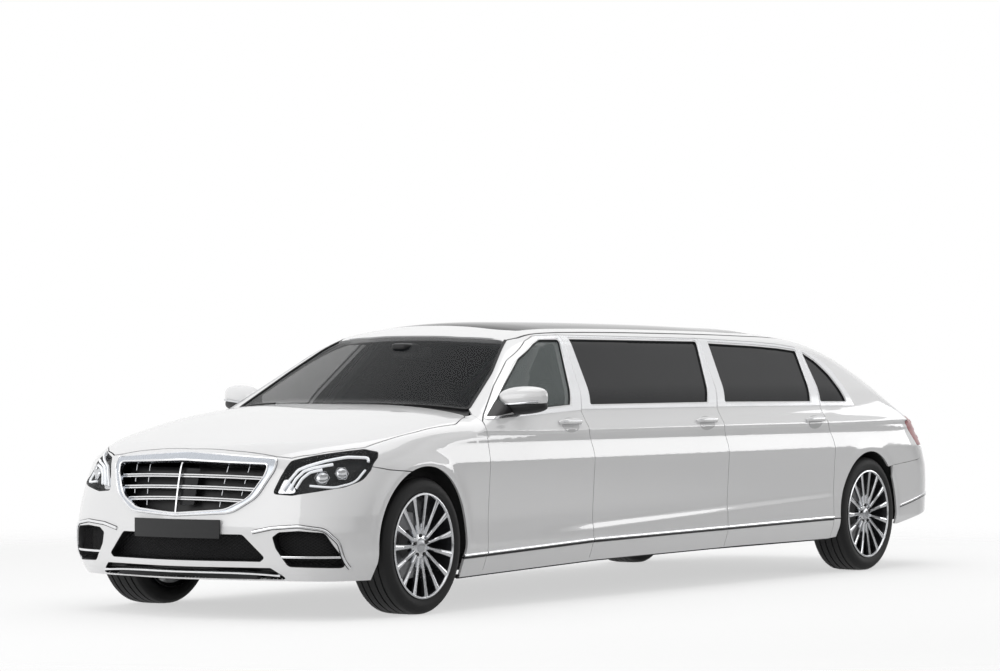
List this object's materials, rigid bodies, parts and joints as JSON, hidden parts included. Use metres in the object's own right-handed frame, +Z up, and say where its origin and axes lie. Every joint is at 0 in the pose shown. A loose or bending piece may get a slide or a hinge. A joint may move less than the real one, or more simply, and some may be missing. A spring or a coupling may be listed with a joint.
{
  "type": "stretch limousine",
  "caption": "Long six-door saloon car with three rows of seats, opening doors, bonnet and boot lid, steering front wheels and free-turning road wheels",
  "frame": {"origin": "on the ground, midway along the car's length, on its centre plane", "axes": "+X towards the nose, +Y to the car's left side, +Z up"},
  "size_m": [6.9796, 2.13, 1.5168],
  "materials": {
    "body_paint": "white pearl lacquer",
    "front_glass": "lightly tinted safety glass",
    "privacy_glass": "dark privacy glass",
    "lamp_glass": "clear lamp lens over bright reflectors",
    "red_lamp": "red lamp lens",
    "bright_trim": "bright polished trim",
    "wheel_alloy": "machined and clear lacquered alloy",
    "tyre_rubber": "black tread rubber",
    "black_trim": "grained black plastic",
    "underbody": "dark sealed sheet metal",
    "cast_metal": "cast and machined metal",
    "bare_steel": "plain steel sheet",
    "seat_leather": "soft dark leather"
  },
  "bodies": {
    "body": {"sills": "body_paint", "front_bumper": "body_paint", "windscreen_cowl": "black_trim", "front_fenders": "body_paint", "roof": "body_paint", "rear_bumper": "body_paint", "rear_quarter_panels": "body_paint", "side_frames": "body_paint", "windscreen": "front_glass", "rear_windows": "privacy_glass", "roof_glass": "privacy_glass", "headlights": "lamp_glass", "tail_lights": "red_lamp", "radiator_grille": "bright_trim", "floor_pan": "underbody", "boot_floor": "underbody", "bulkheads": "underbody", "wheel_liners": "black_trim", "front_axle": "cast_metal", "rear_axle": "cast_metal", "engine": "cast_metal", "exhaust": "bare_steel", "front_seats": "seat_leather", "rear_seats": "seat_leather", "dashboard": "black_trim", "door_posts": "body_paint", "latches": "bare_steel"},
    "front_door_left_body": {"front_door_left": "body_paint", "front_door_glass_left": "front_glass", "door_mirror_left": "body_paint"},
    "front_door_right_body": {"front_door_right": "body_paint", "front_door_glass_right": "front_glass", "door_mirror_right": "body_paint"},
    "middle_door_left_body": {"middle_door_left": "body_paint", "middle_door_glass_left": "privacy_glass"},
    "middle_door_right_body": {"middle_door_right": "body_paint", "middle_door_glass_right": "privacy_glass"},
    "rear_door_left_body": {"rear_door_left": "body_paint", "rear_door_glass_left": "privacy_glass"},
    "rear_door_right_body": {"rear_door_right": "body_paint", "rear_door_glass_right": "privacy_glass"},
    "bonnet_body": {"bonnet": "body_paint"},
    "boot_lid_body": {"boot_lid": "body_paint"},
    "front_knuckle_left_body": {"front_knuckle_left": "cast_metal"},
    "front_wheel_left_body": {"front_wheel_left": "wheel_alloy", "front_tyre_left": "tyre_rubber"},
    "rear_wheel_left_body": {"rear_wheel_left": "wheel_alloy", "rear_tyre_left": "tyre_rubber"},
    "front_knuckle_right_body": {"front_knuckle_right": "cast_metal"},
    "front_wheel_right_body": {"front_wheel_right": "wheel_alloy", "front_tyre_right": "tyre_rubber"},
    "rear_wheel_right_body": {"rear_wheel_right": "wheel_alloy", "rear_tyre_right": "tyre_rubber"},
    "steering_wheel_body": {"steering_wheel": "seat_leather"}
  },
  "joints": [
    {"name": "front_door_left_hinge", "type": "hinge", "parent": "body", "child": "front_door_left_body", "pos_m": [2.007, 0.95, 0.6], "axis": [0, 0, -1], "range_deg": [0, 68]},
    {"name": "front_door_right_hinge", "type": "hinge", "parent": "body", "child": "front_door_right_body", "pos_m": [2.007, -0.95, 0.6], "axis": [0, 0, 1], "range_deg": [0, 68]},
    {"name": "middle_door_left_hinge", "type": "hinge", "parent": "body", "child": "middle_door_left_body", "pos_m": [0.955, 0.95, 0.6], "axis": [0, 0, -1], "range_deg": [0, 68]},
    {"name": "middle_door_right_hinge", "type": "hinge", "parent": "body", "child": "middle_door_right_body", "pos_m": [0.955, -0.95, 0.6], "axis": [0, 0, 1], "range_deg": [0, 68]},
    {"name": "rear_door_left_hinge", "type": "hinge", "parent": "body", "child": "rear_door_left_body", "pos_m": [-0.533, 0.95, 0.6], "axis": [0, 0, -1], "range_deg": [0, 68]},
    {"name": "rear_door_right_hinge", "type": "hinge", "parent": "body", "child": "rear_door_right_body", "pos_m": [-0.533, -0.95, 0.6], "axis": [0, 0, 1], "range_deg": [0, 68]},
    {"name": "bonnet_hinge", "type": "hinge", "parent": "body", "child": "bonnet_body", "pos_m": [2.034, 0, 1.075], "axis": [0, -1, 0], "range_deg": [0, 50]},
    {"name": "boot_lid_hinge", "type": "hinge", "parent": "body", "child": "boot_lid_body", "pos_m": [-2.783, 0, 1.08], "axis": [0, 1, 0], "range_deg": [0, 80]},
    {"name": "steering_left", "type": "hinge", "parent": "body", "child": "front_knuckle_left_body", "pos_m": [2.61, 0.735, 0.352], "axis": [0, 0, 1], "range_deg": [-38, 38]},
    {"name": "front_wheel_left_spin", "type": "hinge", "parent": "front_knuckle_left_body", "child": "front_wheel_left_body", "pos_m": [2.61, 0.815, 0.352], "axis": [0, 1, 0], "continuous": true},
    {"name": "rear_wheel_left_spin", "type": "hinge", "parent": "body", "child": "rear_wheel_left_body", "pos_m": [-2.29, 0.815, 0.352], "axis": [0, 1, 0], "continuous": true},
    {"name": "steering_right", "type": "hinge", "parent": "body", "child": "front_knuckle_right_body", "pos_m": [2.61, -0.735, 0.352], "axis": [0, 0, 1], "range_deg": [-38, 38]},
    {"name": "front_wheel_right_spin", "type": "hinge", "parent": "front_knuckle_right_body", "child": "front_wheel_right_body", "pos_m": [2.61, -0.815, 0.352], "axis": [0, 1, 0], "continuous": true},
    {"name": "rear_wheel_right_spin", "type": "hinge", "parent": "body", "child": "rear_wheel_right_body", "pos_m": [-2.29, -0.815, 0.352], "axis": [0, 1, 0], "continuous": true},
    {"name": "steering_wheel_turn", "type": "hinge", "parent": "body", "child": "steering_wheel_body", "pos_m": [1.5, 0.375, 0.905], "axis": [-0.9135, 0, 0.4067], "range_deg": [-480, 480]}
  ],
  "couplings": [
    {"joint": "steering_right", "follows": "steering_left", "ratio": 1},
    {"joint": "steering_wheel_turn", "follows": "steering_left", "ratio": 12.5}
  ]
}
